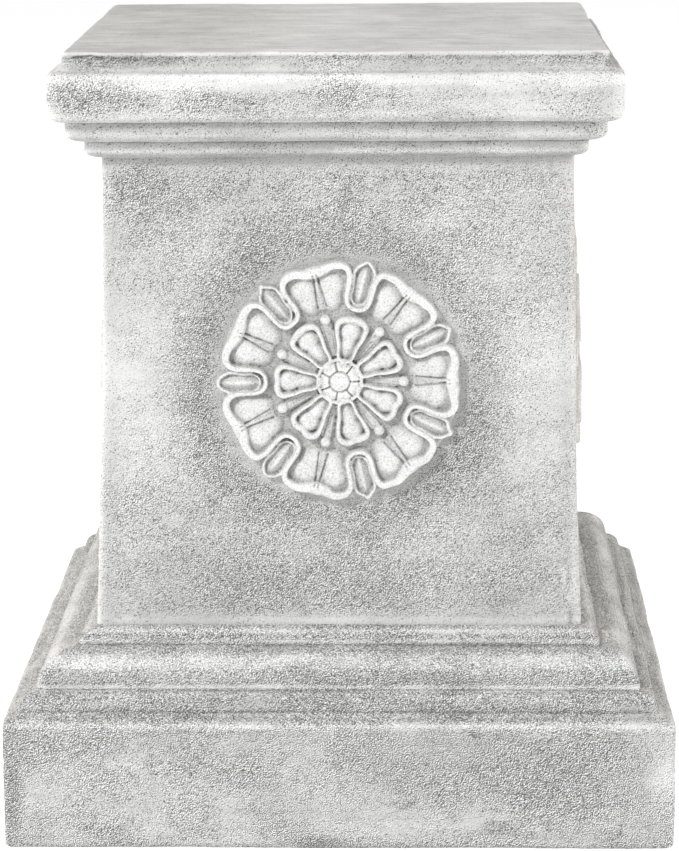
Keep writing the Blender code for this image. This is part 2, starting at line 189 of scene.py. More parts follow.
def base_profile():
    """The block and the three rolls, from the foot up."""
    bead_inner = dado_half(DADO_FOOT)
    large_inner = bead_inner + BEAD_PROJECTION
    low_inner = large_inner + LARGE_ROLL_PROJECTION
    low_outer = low_inner + LOW_ROLL_PROJECTION
    half = cad_high.x
    foot_round = 0.0020
    edge_round = 0.0022
    foot = arc((half - foot_round, foot_round), (foot_round, foot_round), -90, 0)
    edge = arc((half - edge_round, BLOCK_HEIGHT - edge_round), (edge_round, edge_round), 0, 66)
    low = arc((low_inner, LOW_ROLL_FOOT), (low_outer - low_inner, LOW_ROLL_HEIGHT), 0, 90)
    lip = 0.0018
    large_radii = (LARGE_ROLL_PROJECTION, LARGE_ROLL_HEIGHT - lip)
    large = arc((large_inner, LARGE_ROLL_FOOT + lip), large_radii, 0, 90)
    bead_lip = 0.0009
    bead = arc((bead_inner, BEAD_FOOT + bead_lip), (BEAD_PROJECTION, BEAD_HEIGHT - bead_lip), 0, 90)
    large_foot = [(low_inner, LARGE_ROLL_FOOT)]
    bead_foot = [(large_inner, BEAD_FOOT)]
    inside = [(bead_inner - OVERLAP, DADO_FOOT)]
    return foot + edge + low[:-1] + large_foot + large[:-1] + bead_foot + bead + inside


def dado_profile():
    """The dado's flare, from inside the base to inside the cap."""
    low = DADO_FOOT - OVERLAP
    high = BED_FOOT + OVERLAP
    heights = [low + (high - low) * i / FLARE_STEPS for i in range(FLARE_STEPS + 1)]
    return [(dado_half(height), height) for height in heights]


def cap_profile():
    """Bed moulding, corona, slab, cove and fillet, up to the rim of the flat top."""
    bed_inner = DADO_WIDTH / 2
    bed_outer = bed_inner + BED_PROJECTION
    corona_outer = bed_outer + CORONA_PROJECTION
    slab_outer = corona_outer + SLAB_PROJECTION
    cove_outer = slab_outer - COVE_SET_IN
    fillet = cove_outer - COVE_WIDTH
    bed_round = 0.0040
    corona_round = 0.0043
    slab_round = 0.0048
    top_round = 0.0016
    inside = [(bed_inner - OVERLAP, BED_FOOT)]
    bed = arc((bed_inner, BED_FOOT + bed_round), (BED_PROJECTION, bed_round), -90, 0)
    corona = arc((bed_outer, CORONA_FOOT + corona_round), (CORONA_PROJECTION, corona_round), -90, 0)
    slab = arc((corona_outer, SLAB_FOOT + slab_round), (SLAB_PROJECTION, slab_round), -90, 0)
    slab_top = arc((cove_outer, COVE_FOOT - COVE_SET_IN), (COVE_SET_IN, COVE_SET_IN), 0, 90)
    cove = arc((cove_outer, FILLET_FOOT), (COVE_WIDTH, COVE_HEIGHT), 270, 180)
    top = arc((fillet - top_round, TOP - top_round), (top_round, top_round), 0, 90)
    return inside + bed + corona + slab + slab_top + cove[1:] + top


# %% [markdown]
# ## From a profile to a piece
#
# By hand this is one square plane with its corners bevelled, extruded upwards again and again,
# and scaled after each step to the next half width. The long edges of each side are then
# subdivided, more finely in front, where the eye comes closest.

# %% Helpers for edit mode
CORNER_RADIUS = 0.0030
CORNER_SEGMENTS = 4
LONG_EDGE = 0.05


def choose(*things):
    """Selects these objects alone and makes the first one active."""
    bpy.ops.object.select_all(action="DESELECT")
    for thing in things:
        thing.select_set(True)
    bpy.context.view_layer.objects.active = things[0]


def edit(piece):
    """Opens one piece in edit mode, with nothing else selected."""
    if bpy.context.mode != "OBJECT":
        bpy.ops.object.mode_set(mode="OBJECT")
    choose(piece)
    bpy.ops.object.mode_set(mode="EDIT")


def pick(piece, kind, wanted):
    """Selects the edges or the faces for which wanted holds."""
    bpy.ops.mesh.select_mode(type=kind)
    bpy.ops.mesh.select_all(action="DESELECT")
    bm = bmesh.from_edit_mesh(piece.data)
    for element in bm.edges if kind == "EDGE" else bm.faces:
        element.select_set(wanted(element))
    bmesh.update_edit_mesh(piece.data)


def leave_edit():
    """Turns all faces outward and goes back to object mode."""
    bpy.ops.mesh.select_all(action="SELECT")
    bpy.ops.mesh.normals_make_consistent(inside=False)
    bpy.ops.object.mode_set(mode="OBJECT")


def finish_modifier(piece, kind, **settings):
    """Adds a modifier with these settings and applies it."""
    choose(piece)
    bpy.ops.object.modifier_add(type=kind)
    modifier = piece.modifiers[-1]
    for name, value in settings.items():
        setattr(modifier, name, value)
    bpy.ops.object.modifier_apply(modifier=modifier.name)


# %% Extrude a square ring up its profile
def extruded(name, profile):
    """A closed square piece, extruded ring by ring up a profile."""
    half, height = profile[0]
    bpy.ops.object.select_all(action="DESELECT")
    bpy.ops.mesh.primitive_plane_add(size=2 * half, location=(0, 0, height))
    piece = bpy.context.object
    piece.name = name
    piece.data.name = name
    bpy.ops.object.transform_apply(location=True, rotation=True, scale=True)
    edit(piece)
    bpy.ops.mesh.select_all(action="SELECT")
    bpy.ops.mesh.bevel(offset=CORNER_RADIUS, segments=CORNER_SEGMENTS, affect="VERTICES")
    bpy.ops.mesh.select_mode(type="FACE")
    bpy.ops.mesh.select_all(action="SELECT")
    for new_half, new_height in profile[1:]:
        rise = (0, 0, new_height - height)
        bpy.ops.mesh.extrude_region_move(TRANSFORM_OT_translate={"value": rise})
        scale = new_half / half
        bpy.ops.transform.resize(value=(scale, scale, 1), center_override=(0, 0, new_height))
        half, height = new_half, new_height
    leave_edit()
    return piece


def divided(piece, front_pitch, side_pitch):
    """Subdivides the long edges of each side, so that the mesh is fine enough to roughen."""
    edit(piece)
    sides = ((1, -1, front_pitch), (1, 1, side_pitch), (0, -1, side_pitch), (0, 1, side_pitch))
    for across, sign, pitch in sides:
        def on_side(edge):
            a, b = edge.verts[0].co, edge.verts[1].co
            along = 1 - across
            level = abs(a.z - b.z) < NEARLY and abs(a[along] - b[along]) > LONG_EDGE
            return level and a[across] * sign > 0 and b[across] * sign > 0
        pick(piece, "EDGE", on_side)
        cuts = round(piece.dimensions[1 - across] / pitch)
        bpy.ops.mesh.subdivide(number_cuts=cuts, quadcorner="INNERVERT")
    bpy.ops.object.mode_set(mode="OBJECT")


# %% Make the three pieces
RING_PITCH = 0.0012
CAP_RING_PITCH = 0.0011
FRONT_PITCH = 0.0009
SIDE_PITCH = 0.0026


def course(name, profile, ring_pitch):
    """One piece, extruded up its profile and divided along its sides."""
    piece = extruded(name, filled(profile, ring_pitch))
    divided(piece, FRONT_PITCH, SIDE_PITCH)
    print(name, len(piece.data.vertices), "points")
    return piece


base = course("plinth_base", base_profile(), RING_PITCH)
dado = course("plinth_dado", dado_profile(), RING_PITCH)
cap = course("plinth_cap", cap_profile(), CAP_RING_PITCH)

# %% [markdown]
# ## The flat top
#
# The extrusion ends in one large face with no points inside it, which can't carry brush marks.
# It is deleted, a grid is laid in its place, and the two borders are bridged.

# %% Lay a grid in the top
GRID_MARGIN = 0.003
GRID_PITCH = 0.0018


def lay_top(piece):
    """Replaces the top face by a grid, bridged to the rim."""
    rim = max(v.co.x for v in piece.data.vertices if v.co.z > TOP - NEARLY)
    size = 2 * (rim - GRID_MARGIN)
    cells = round(size / GRID_PITCH)
    edit(piece)
    pick(piece, "FACE", lambda face: face.calc_center_median().z > TOP - NEARLY)
    bpy.ops.mesh.delete(type="FACE")
    bpy.ops.mesh.primitive_grid_add(
        x_subdivisions=cells, y_subdivisions=cells, size=size, location=(0, 0, TOP))
    pick(piece, "EDGE", lambda edge: edge.is_boundary)
    bpy.ops.mesh.bridge_edge_loops()
    leave_edit()


lay_top(cap)
print("cap with its top:", len(cap.data.vertices), "points")

# %% [markdown]
# ## Reading and marking a mesh
#
# Wear, dirt and shade follow the form. A point that stands out from its smoothed neighbourhood is
# an edge, which the white brush catches; a point that lies deeper is a crease, which is darkened,
# partly for the grey wash that stays there and partly as painted shade. The difference is measured
# once on each finished mesh and kept as an attribute named relief. A second attribute, rough, says
# where the surface is pitted and where it was trowelled.

# %% Measure the relief of a mesh
def points_of(piece):
    """The mesh's points as rows of x, y and z."""
    flat = np.empty(len(piece.data.vertices) * 3)
    piece.data.vertices.foreach_get("co", flat)
    return flat.reshape(-1, 3)


def put_points(piece, points):
    """Moves the mesh's points to these places."""
    piece.data.vertices.foreach_set("co", points.ravel())
    piece.data.update()


def triangles(piece):
    """How many triangles the mesh's faces make."""
    return sum(len(face.vertices) - 2 for face in piece.data.polygons)


def normals_of(piece):
    """The direction in which each point faces."""
    flat = np.empty(len(piece.data.vertices) * 3, np.float32)
    piece.data.vertex_normals.foreach_get("vector", flat)
    return flat.reshape(-1, 3)


def mark(piece, name, values):
    """Keeps one number for each point under a name that the material can read."""
    attribute = piece.data.attributes.get(name) or piece.data.attributes.new(name, "FLOAT", "POINT")
    attribute.data.foreach_set("value", np.asarray(values, np.float32))


def read_mark(piece, name):
    """The numbers kept under a name."""
    values = np.empty(len(piece.data.vertices), np.float32)
    piece.data.attributes[name].data.foreach_get("value", values)
    return values


def softened(piece, points, rounds):
    """The points, each drawn half way to the middle of its neighbours, some rounds over."""
    ends = np.empty(len(piece.data.edges) * 2, np.int32)
    piece.data.edges.foreach_get("vertices", ends)
    first, second = ends[0::2], ends[1::2]
    count = np.maximum(np.bincount(ends, minlength=len(points)), 1)
    soft = points.copy()
    for _ in range(rounds):
        for axis in range(3):
            value = soft[:, axis]
            total = np.bincount(first, value[second], len(points))
            total += np.bincount(second, value[first], len(points))
            soft[:, axis] = (value + total / count) / 2
    return soft


def standing_out(piece, rounds, full):
    """How far each point stands out from its surroundings, from -1 to 1 at the full step."""
    points = points_of(piece)
    out = np.einsum("ij,ij->i", points - softened(piece, points, rounds), normals_of(piece))
    return np.clip(out / full, -1, 1)


def mark_relief(piece, close, wide, wide_share):
    """Marks edges and creases from a close look, and adds the creases of a wide one."""
    near = standing_out(piece, *close)
    # The wide look keeps only the hollows, which the material darkens as broad painted shade.
    far = np.minimum(standing_out(piece, *wide), 0)
    mark(piece, "relief", near * (1 - wide_share) + far * wide_share)


# %% [markdown]
# ## A tone for each course
#
# The grey wash runs down and gathers in the creases, and the white brush catches the lips and the
# upper slopes. The table also paints light and shade: the upper slopes and lips are lighter, and
# the undersides, the turned-under foot and the creases darker, as light from above falls. So each
# height has a tone of its own, to be added to the stone's middle tone. The table reads from the
# ground up.

# %% The tones of the courses
# Wash and brush tones, with painted light on the upper slopes and lips and painted shade under the
# rolls and in the creases.
COURSE_TONES = (
    (0.0, -0.26), (0.003, -0.02), (0.018, -0.02), (0.03, -0.04), (0.0545, -0.04),
    (0.0564, 0.04), (0.0577, 0.13), (0.0588, 0.05), (0.0597, -0.09), (0.0611, 0.05),
    (0.062, -0.06), (0.0645, -0.11), (0.0668, -0.06), (0.0686, 0.02), (0.0692, -0.06),
    (0.0697, 0.14), (0.0704, 0.24), (0.0713, 0.18), (0.0724, -0.08), (0.0732, -0.12),
    (0.0755, -0.07), (0.078, 0.01), (0.0795, 0.11), (0.0828, 0.16), (0.084, 0.05),
    (0.0847, -0.01), (0.0854, 0.05), (0.0861, 0.17), (0.0872, 0.16), (0.0884, -0.02),
    (0.0894, -0.06), (0.0912, 0.19), (0.0923, 0.02), (0.093, 0.08), (0.0948, 0.1),
    (0.0968, 0.0), (0.24, 0.0), (0.29, -0.03), (0.304, -0.05), (0.3068, -0.22),
    (0.3085, -0.08), (0.3108, 0.0), (0.313, -0.06), (0.316, -0.09), (0.319, -0.13),
    (0.3216, -0.03), (0.3224, 0.04), (0.324, 0.02), (0.327, 0.01), (0.334, -0.01),
    (0.338, 0.08), (0.3425, 0.17), (0.344, 0.1), (0.3452, 0.18), (0.347, 0.08),
    (0.3488, 0.02), (0.3506, -0.16), (0.3514, 0.0), (0.3522, 0.12), (0.353, 0.17),
)


def course_tone(level):
    """The tone that the table gives each of these heights."""
    heights, tones = zip(*COURSE_TONES)
    return np.interp(level, heights, tones)


# %% [markdown]
# ## Where the surface is pitted
#
# Pits come in drifts: the grit shows where the mould was dry, and smooth islands lie between.
# Beside the rosette, along the upright edges and next to the mouldings it was wiped smooth, and
# where the course tones are pale, from the white brush and partly from painted light, the pits are
# filled. A spot is written as its middle (x, height), its half sizes and its amount.

# %% Mark the pitted surface
FILLED_BY = 1.6


def ramp(value, low, high):
    """0 below low, 1 above high, and smooth between; low may be the larger."""
    share = np.clip((value - low) / (high - low), 0, 1)
    return share * share * (3 - 2 * share)


def drifts(points, size, seed):
    """Slow noise from about -1 to 1 at each point, with patches of this size."""
    shift = Vector((seed * 7.3, seed * 3.1, seed * 5.7))
    return np.array([noise.fractal(Vector(p) / size + shift, 0.9, 2.0, 4) for p in points])


def from_rosette(points):
    """How far each point lies from the middle of the rosette on its side."""
    along_x = np.abs(points[:, 1]) > np.abs(points[:, 0])
    across = np.where(along_x, points[:, 0] - ROSETTE_ASIDE, points[:, 1])
    return np.hypot(across, points[:, 2] - ROSETTE_HEIGHT)


def front_share(points):
    """1 on the front, fading out a short way round its corners."""
    return ramp(-points[:, 1] - np.abs(points[:, 0]), -0.030, 0.0)


def spots(points, places):
    """The sum of soft spots on the front, each with its middle, half sizes and amount."""
    front = front_share(points)
    total = np.zeros(len(points))
    for x, height, half_x, half_height, amount in places:
        away = np.hypot((points[:, 0] - x) / half_x, (points[:, 2] - height) / half_height)
        total += amount * ramp(away, 1, 0.25) * front
    return total


PITTED = (
    (-0.1150, 0.3350, 0.0420, 0.0130, 0.66),
    (-0.0700, 0.3330, 0.0450, 0.0090, 0.30),
    (0.0150, 0.3350, 0.0350, 0.0110, 0.36),
    (-0.0300, 0.3400, 0.0400, 0.0050, -0.30),
    (-0.0850, 0.2900, 0.0300, 0.0200, 0.30),
    (-0.0880, 0.2100, 0.0300, 0.0650, -0.30),
    (0.0850, 0.2000, 0.0280, 0.0600, -0.20),
    (0.0000, 0.1100, 0.1100, 0.0220, 0.30),
    (0.0850, 0.0360, 0.0550, 0.0280, 0.40),
    (0.0130, 0.0430, 0.0300, 0.0170, 0.40),
    (-0.1200, 0.0460, 0.0350, 0.0160, 0.35),
    (-0.1460, 0.0300, 0.0080, 0.0500, 0.60),
    (-0.0750, 0.0180, 0.0600, 0.0200, -0.30),
    (0.0300, 0.0120, 0.0700, 0.0120, -0.25),
    (0.1100, 0.3330, 0.0400, 0.0130, -0.30),
)


def mark_rough(piece, seed):
    """Marks how pitted each point is, from 0 for wiped smooth to 1."""
    points = points_of(piece)
    sides = np.sort(np.abs(points[:, :2]), axis=1)
    from_edge = sides[:, 1] - sides[:, 0]
    level = points[:, 2]
    if piece is dado:
        rough = 0.58 + 0.28 * drifts(points * (1, 1, 1.4), 0.020, seed)
        rough += 0.35 * ramp(from_rosette(points), 0.088, 0.062)
        rough *= ramp(from_rosette(points), 0.054, 0.063) * 0.8 + 0.2
        rough *= ramp(from_edge, 0.002, 0.016) * 0.4 + 0.6
        rough *= ramp(level, DADO_FOOT + 0.001, DADO_FOOT + 0.009) * 0.8 + 0.2
        rough *= ramp(level, BED_FOOT - 0.001, BED_FOOT - 0.010) * 0.7 + 0.3
    elif piece is base:
        rough = 0.64 + 0.45 * drifts(points * (1, 1, 1.5), 0.026, seed)
        rough += 0.20 * ramp(level, BLOCK_HEIGHT, LARGE_ROLL_FOOT)
    else:
        rough = 0.40 + 0.45 * drifts(points, 0.030, seed)
        rough *= 1 - 0.9 * ramp(level, FILLET_FOOT, TOP - 0.0005)
        rough *= 1 - 0.5 * ramp(level, SLAB_FOOT + 0.001, SLAB_FOOT - 0.001)
    rough += spots(points, PITTED)
    # The pale course tones are partly painted light; the pits are filled where they are pale.
    rough -= FILLED_BY * np.maximum(course_tone(level), 0)
    rough = np.clip(rough, 0.15 * (level < FILLET_FOOT), 1)
    mark(piece, "rough", rough)
    return rough


# %% [markdown]
# ## Scars and stains
#
# A few marks make it this casting and no other: a crack beside the dado's right edge, a scratch
# across the block, dirt on its foot. A scar is a line of (x, height) points on the front, with its
# half width and depth; the wash is darker along it, partly for dirt in it and partly as painted
# shade in the groove. A stain is a spot, with a tone for its amount; two broad ones on the block,
# lighter on its left and darker on its right, are painted light.

# %% Scars and stains on the front
SCARS = {
    "plinth_dado": (
        (((0.1020, 0.1230), (0.1036, 0.1130), (0.1026, 0.1050), (0.1046, 0.0930)), 0.0014, 0.0005),
        (((0.0936, 0.3040), (0.0946, 0.2965)), 0.0009, 0.0005),
        (((-0.0985, 0.2960), (-0.0950, 0.2905), (-0.0960, 0.2860)), 0.0010, 0.0005),
        (((-0.0890, 0.2890), (-0.0840, 0.2850)), 0.0010, 0.0005),
    ),
    "plinth_base": (
        (((0.0186, 0.0137), (0.0270, 0.0185), (0.0357, 0.0222)), 0.0014, 0.0002),
        (((0.0560, 0.0560), (0.0640, 0.0530)), 0.0014, 0.0004),
    ),
    "plinth_cap": (
        (((-0.1135, 0.3508), (-0.1060, 0.3515), (-0.1010, 0.3506)), 0.0009, 0.0006),
        (((0.1110, 0.3520), (0.1150, 0.3516)), 0.0009, 0.0005),
    ),
}
STAINS = (
    (-0.0080, 0.0030, 0.0150, 0.0050, -0.20),
    (0.0700, 0.0100, 0.0110, 0.0050, -0.16),
    (-0.1480, 0.0300, 0.0080, 0.0450, -0.24),
    (0.1440, 0.0300, 0.0080, 0.0300, 0.14),
    # Painted light: the block made darker towards its right.
    (0.0600, 0.0380, 0.0950, 0.0320, -0.06),
    (0.1040, 0.1080, 0.0040, 0.0200, 0.12),
    # Painted light: the block made lighter on its left.
    (-0.0850, 0.0260, 0.0700, 0.0300, 0.06),
    (0.1195, 0.3475, 0.0050, 0.0035, -0.25),
    (-0.1000, 0.3490, 0.0450, 0.0050, -0.14),
    (-0.1150, 0.3350, 0.0420, 0.0140, -0.04),
    (-0.0880, 0.2000, 0.0300, 0.0800, 0.05),
    (0.0880, 0.2000, 0.0260, 0.0700, 0.07),
    (-0.1350, 0.0700, 0.0350, 0.0060, -0.10),
    (-0.1100, 0.0810, 0.0280, 0.0050, 0.14),
)


def along_line(flat, start, end, half_width):
    """How near each point lies to a line: 1 on it, and 0 from the half width on."""
    start, end = np.array(start), np.array(end)
    way = end - start
    share = np.clip(((flat - start) @ way) / (way @ way), 0, 1)
    away = np.linalg.norm(flat - start - share[:, None] * way, axis=1)
    near = np.clip(1 - away / half_width, 0, 1)
    return near * near * (3 - 2 * near)


def scarred(piece, points):
    """The depth of the scars at each point."""
    flat = points[:, [0, 2]]
    front = front_share(points)
    depth = np.zeros(len(points))
    for line, half_width, deep in SCARS[piece.name]:
        for start, end in zip(line, line[1:]):
            depth = np.maximum(depth, deep * along_line(flat, start, end, half_width) * front)
    return depth


# %% [markdown]
# ## How the wash and the painted light lie
#
# Round the rosette the wash was rubbed in and left, and a ring just outside its rims is darker,
# partly for that wash and partly as painted shade about the raised rosette. The brush was drawn
# along the courses and left streaks, coarse and fine. The front was brushed most: on the other
# sides the buff of the stone shows through, and they are painted lighter, the left one more than
# the right, as painted light.

# %% Mark the wash, the painted light and the bare stone
TOP_SHARE = 0.5
# How much lighter the left and right sides are painted: painted light.
LEFT_SIDE_PAINTED_LIGHT = 0.26
RIGHT_SIDE_PAINTED_LIGHT = 0.08
DARKER_PER_METRE_OF_SCAR = 260


def mark_wash_and_painted_light(piece, seed):
    """Marks each point's wash and painted light, and how much bare stone shows there."""
    points = points_of(piece)
    across = points[:, 0]
    wash_and_painted_light = course_tone(points[:, 2]) + spots(points, STAINS)
    # Scars are darkened by their depth: partly dirt in them, partly painted shade in the groove.
    wash_and_painted_light -= DARKER_PER_METRE_OF_SCAR * scarred(piece, points)
    wash_and_painted_light += 0.08 * drifts(points, 0.06, seed + 7)
    on_top = normals_of(piece)[:, 2] > 0.9
    on_top &= points[:, 2] > FILLET_FOOT
    along = np.where(on_top[:, None], (0.16, 1, 0.16), (0.12, 0.12, 1))
    streaks = 0.06 * drifts(points * along, 0.007, seed + 11)
    streaks += 0.08 * drifts(points * along, 0.0026, seed + 13)
    above_block = ramp(points[:, 2], BLOCK_HEIGHT - 0.008, BLOCK_HEIGHT)
    wash_and_painted_light += streaks * (0.4 if piece is dado else 0.5 + 0.5 * above_block)
    wash_and_painted_light += on_top * (0.06 * drifts(points, 0.020, seed + 17) - 0.06 * ramp(across, 0.00, -0.10))
    bare = 1 - ramp(-points[:, 1] - np.abs(across), -0.003, 0.002)
    # Painted light: the sides are made lighter, the left one more than the right.
    side_painted_light = LEFT_SIDE_PAINTED_LIGHT + (RIGHT_SIDE_PAINTED_LIGHT - LEFT_SIDE_PAINTED_LIGHT) * ramp(across, -0.08, 0.08)
    wash_and_painted_light += side_painted_light * bare * ~on_top
    bare[on_top] = TOP_SHARE + (1 - TOP_SHARE) * ramp(across[on_top], 0.02, -0.08)
    if piece is dado:
        away = from_rosette(points)
        # A darker ring just outside the rosette: partly the wash rubbed in there, partly painted
        # shade.
        wash_and_painted_light -= 0.07 * ramp(away, 0.046, 0.054) * ramp(away, 0.086, 0.058)
        wash_and_painted_light -= 0.06 * ramp(np.abs(across), 0.096, 0.104)
    mark(piece, "wash_and_painted_light", wash_and_painted_light)
    mark(piece, "bare", bare)


# %% [markdown]
# ## Roughening
#
# Displace modifiers move the mesh in and out: a slow wave that takes the machine straightness
# out of the edges, lumps the size of a fingertip, the strokes of a stiff brush, and the coarse
# part of the grit. The finest grit is left to the material. The scars are pressed in last, the
# dado is made to lean a little, and what would pass the model's box is clipped to it.

# %% Displace
def clouds(name, size, depth):
    """A procedural cloud texture with grains of this size."""
    texture = bpy.data.textures.new(name, "CLOUDS")
    texture.noise_scale = size
    texture.noise_depth = depth
    return texture


MOVES = (
    (clouds("slow_wave", 0.055, 1), 0.0012, ""),
    (clouds("lumps", 0.011, 2), 0.00055, ""),
    (clouds("strokes", 0.0044, 2), 0.00055, "rough"),
    (clouds("grit", 0.0015, 1), 0.00035, "rough"),
)
ROUGH_LEVELS = 20
LEAN_RIGHT = 0.0011
LEAN_LEFT = 0.0014
WIDENING = 0.0005


def lean(points):
    """Lets the dado's right side stand out above and its left side below, as on the real one."""
    across, level = points[:, 0].copy(), points[:, 2]
    points[:, 0] += ramp(across, 0.07, 0.10) * (WIDENING + LEAN_RIGHT * ramp(level, 0.14, 0.23))
    points[:, 0] -= ramp(across, -0.07, -0.10) * LEAN_LEFT * ramp(level, 0.22, 0.14)


BODY_RELIEF = {"close": (3, 0.00030), "wide": (26, 0.0009), "wide_share": 0.35}


def roughen(piece, seed):
    """Waves, lumps and grit, pressed into a piece."""
    rough = mark_rough(piece, seed)
    finish_modifier(piece, "SMOOTH", factor=0.35, iterations=1)
    group = piece.vertex_groups.new(name="rough")
    levels = np.round(rough * ROUGH_LEVELS).astype(int)
    for level in range(ROUGH_LEVELS + 1):
        found = np.nonzero(levels == level)[0]
        if len(found):
            group.add(found.tolist(), level / ROUGH_LEVELS, "REPLACE")
    for texture, strength, where in MOVES:
        finish_modifier(
            piece, "DISPLACE", texture=texture, strength=strength, vertex_group=where,
            texture_coords="LOCAL", mid_level=0.55)
    piece.vertex_groups.clear()
    points = points_of(piece)
    points[:, 1] += scarred(piece, points)
    if piece is dado:
        lean(points)
    put_points(piece, np.clip(points, cad_low, cad_high))
    mark_relief(piece, **BODY_RELIEF)
    mark_wash_and_painted_light(piece, seed)


for seed, piece in enumerate((base, dado, cap)):
    roughen(piece, seed)
    low = points_of(piece).min(0)
    high = points_of(piece).max(0)
    print(piece.name, "from", (low * 1000).round(2), "to", (high * 1000).round(2))
    print(piece.name, "triangles:", triangles(piece))

# %% [markdown]
# ## The rosette
#
# A modeller builds such a rosette up in clay: rolled coils for the rims, pressed pads for the
# petals, small cones for the ribs and leaves, and balls for the beads. They are blended with a
# wet finger, and the mould is taken from that. The same is done here. Coils, pads, cones and
# balls are laid flat, joined, turned into one skin by a voxel remesh, and smoothed. Decimation
# then takes points from the flat stretches. Whatever isn't linked to the skin's highest point, such
# as small bubbles inside it, is deleted.
#
# There are seven outer petals. Between each two lies a pointed leaf in a channel of its own.
# Seven inner petals lie on the leaves' axes, and seven beads on the outer petals' axes.

# %% The rosette's layout
PETALS = 7
SPACING = 2 * math.pi / PETALS
HALF_SPACING = SPACING / 2
RIM_CREST = 0.0074
INNER_CREST = 0.0066
LEAF_CREST = 0.0050
PLATE_TOP = 0.0024
VOXEL = 0.00046


def polar(radius, angle):
    """A point by its distance from the rosette's centre and its turn from the petal's axis."""
    return radius * math.cos(angle), radius * math.sin(angle)


def beside_leaf(along, aside):
    """A point by its distance along the leaf's axis and off it, towards the petal."""
    cosine, sine = math.cos(HALF_SPACING), math.sin(HALF_SPACING)
    return along * cosine + aside * sine, along * sine - aside * cosine


def turned(point, angle):
    """A point turned about the rosette's centre."""
    cosine, sine = math.cos(angle), math.sin(angle)
    return point[0] * cosine - point[1] * sine, point[0] * sine + point[1] * cosine


def wobble(seed, amount):
    """A small repeatable difference, so that no two petals are quite alike."""
    return amount * noise.noise(Vector((seed * 1.7 + 0.4, seed * 0.9 + 3.1, 0.7)))


# %% [markdown]
# ### Coils
#
# The rolled rim is one closed coil that runs round every petal and back along every channel. A
# coil is a curve with a round bevel, whose radius follows the width of the rim. Wider coils lie
# under it, as a potter would stack them, so that the rim stands on sloping sides.

# %% Roll a stack of coils along a line
STACK = ((0.0, 0.0), (0.0012, 0.00015), (0.0025, 0.00035), (0.0038, 0.00060))


def coil(name, line, crest):
    """Closed coils along (x, y, radius) points, stacked from the crest down, as one mesh."""
    coils = []
    for drop, widening in STACK:
        curve = bpy.data.curves.new(name, "CURVE")
        curve.dimensions = "3D"
        curve.bevel_depth = 1.0
        curve.bevel_resolution = 3
        curve.resolution_u = 6
        spline = curve.splines.new("BEZIER")
        spline.bezier_points.add(len(line) - 1)
        spline.use_cyclic_u = True
        for knot, (x, y, radius) in zip(spline.bezier_points, line):
            knot.co = (x, y, crest - radius - drop)
            knot.radius = radius + widening
            knot.handle_left_type = "AUTO"
            knot.handle_right_type = "AUTO"
        thing = bpy.data.objects.new(name, curve)
        bpy.context.scene.collection.objects.link(thing)
        coils.append(thing)
    choose(*coils)
    bpy.ops.object.convert(target="MESH")
    bpy.ops.object.join()
    return bpy.context.object


def outer_rim_line():
    """The coil round the seven petals: wide at each notch, thin beside each channel."""
    half_line = [
        (*polar(0.0498, 0.0), 0.00240),
        (*polar(0.0506, 0.080), 0.00225),
        (*polar(0.0518, 0.155), 0.00180),
        (*polar(0.0520, 0.225), 0.00155),
        (*polar(0.0508, 0.290), 0.00125),
        (*beside_leaf(0.0472, 0.0061), 0.00095),
        (*beside_leaf(0.0420, 0.0055), 0.00082),
        (*beside_leaf(0.0372, 0.0051), 0.00078),
        (*beside_leaf(0.0343, 0.0036), 0.00076),
        (*beside_leaf(0.0331, 0.0), 0.00076),
    ]
    line = []
    for k in range(PETALS):
        mirror_side = [(x, -y, radius) for x, y, radius in reversed(half_line[1:])]
        for place, (x, y, radius) in enumerate(mirror_side + half_line[:-1]):
            seed = k * 20 + place
            grow = 1 + wobble(seed, 0.016)
            x, y = turned((x * grow, y * grow), k * SPACING)
            line.append((x, y, radius * (1 + wobble(seed + 500, 0.25))))
    return line


def outline(half_line, mirrored, angle, first_seed, amount, swell=0.0):
    """A closed line about an axis at an angle: one side as written, and the other mirrored."""
    across = [(along, -aside, radius) for along, aside, radius in reversed(mirrored)]
    line = []
    for seed, (along, aside, radius) in enumerate(half_line + across, first_seed):
        grow = 1 + wobble(seed, amount)
        x, y = turned((along * grow, aside * grow), angle)
        line.append((x, y, radius * (1 + wobble(seed + 300, swell))))
    return line


def leaf_line(k):
    """The thin coil round one leaf, with its point past the petals."""
    half_line = [
        (0.0547, 0.0, 0.00062),
        (0.0538, 0.0010, 0.00066),
        (0.0504, 0.0042, 0.00066),
        (0.0486, 0.0045, 0.00058),
        (0.0430, 0.0037, 0.00045),
        (0.0375, 0.0032, 0.00042),
        (0.0353, 0.0, 0.00042),
    ]
    angle = HALF_SPACING + k * SPACING + wobble(k + 20, 0.03)
    return outline(half_line, half_line[1:-1], angle, k * 13 + 1500, 0.02)


def inner_rim_line(k):
    """The coil round one inner petal."""
    half_line = [
        (0.0280, 0.0, 0.00140),
        (0.0279, 0.0036, 0.00135),
        (0.0260, 0.0063, 0.00115),
        (0.0222, 0.0062, 0.00085),
        (0.0165, 0.0043, 0.00065),
        (0.0095, 0.0018, 0.00055),
    ]
    angle = HALF_SPACING + k * SPACING + wobble(k + 40, 0.05)
    return outline(half_line, half_line[1:], angle, k * 15 + 900, 0.035, 0.3)


rim = coil("rosette_rims", outer_rim_line(), RIM_CREST)
inner_rims = [coil(f"inner_rim_{k}", inner_rim_line(k), INNER_CREST) for k in range(PETALS)]
leaf_rims = [coil(f"leaf_rim_{k}", leaf_line(k), LEAF_CREST) for k in range(PETALS)]
print("points in the outer rim's coils:", len(rim.data.vertices))

